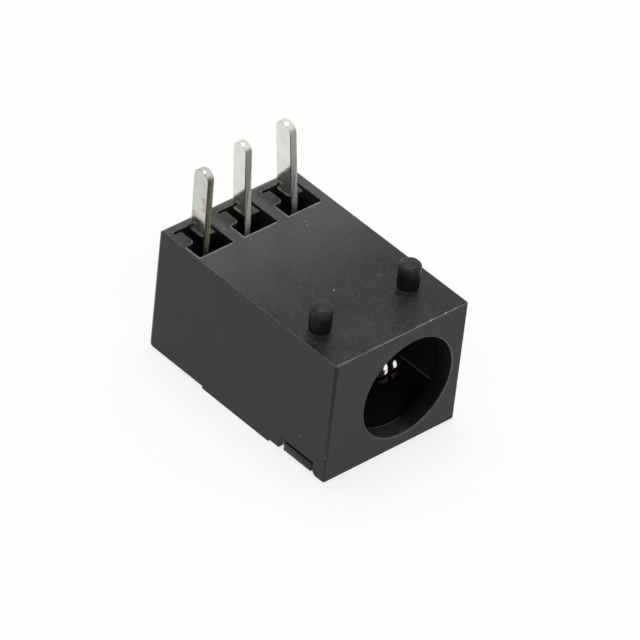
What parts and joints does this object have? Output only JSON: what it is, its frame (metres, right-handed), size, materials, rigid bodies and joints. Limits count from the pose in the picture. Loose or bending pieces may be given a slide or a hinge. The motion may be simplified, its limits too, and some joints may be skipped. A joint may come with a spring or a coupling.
{
  "type": "dc barrel jack",
  "caption": "Right-angle dc power socket for a circuit board: a black moulded block with a round socket and a centre pin, upright solder blades and short locating posts.",
  "frame": {"origin": "Middle of the housing's length and width, on the plane that its foot rails rest on. The socket is stored as it was pictured, upside down on its true top.", "axes": "-Y out of the socket's mouth, +Z out of the board side along the posts and blades, +X to the right seen from the mouth. In use the board lies on the +Z face."},
  "size_m": [0.009, 0.0138, 0.0128],
  "materials": {
    "housing_plastic": "black moulded thermoplastic, satin, fine grain, slightly dusty",
    "cover_plastic": "black moulded thermoplastic, satin",
    "pin_metal": "turned brass, tin plated, with brown in the slits",
    "contact_metal": "stamped brass sheet, tin plated, satin, slightly stained at its cut edges"
  },
  "bodies": {
    "root": {"housing": "housing_plastic", "cover": "cover_plastic", "center_pin": "pin_metal", "sleeve_spring": "contact_metal", "pin_terminal": "contact_metal", "shunt_contact": "contact_metal"}
  },
  "joints": []
}
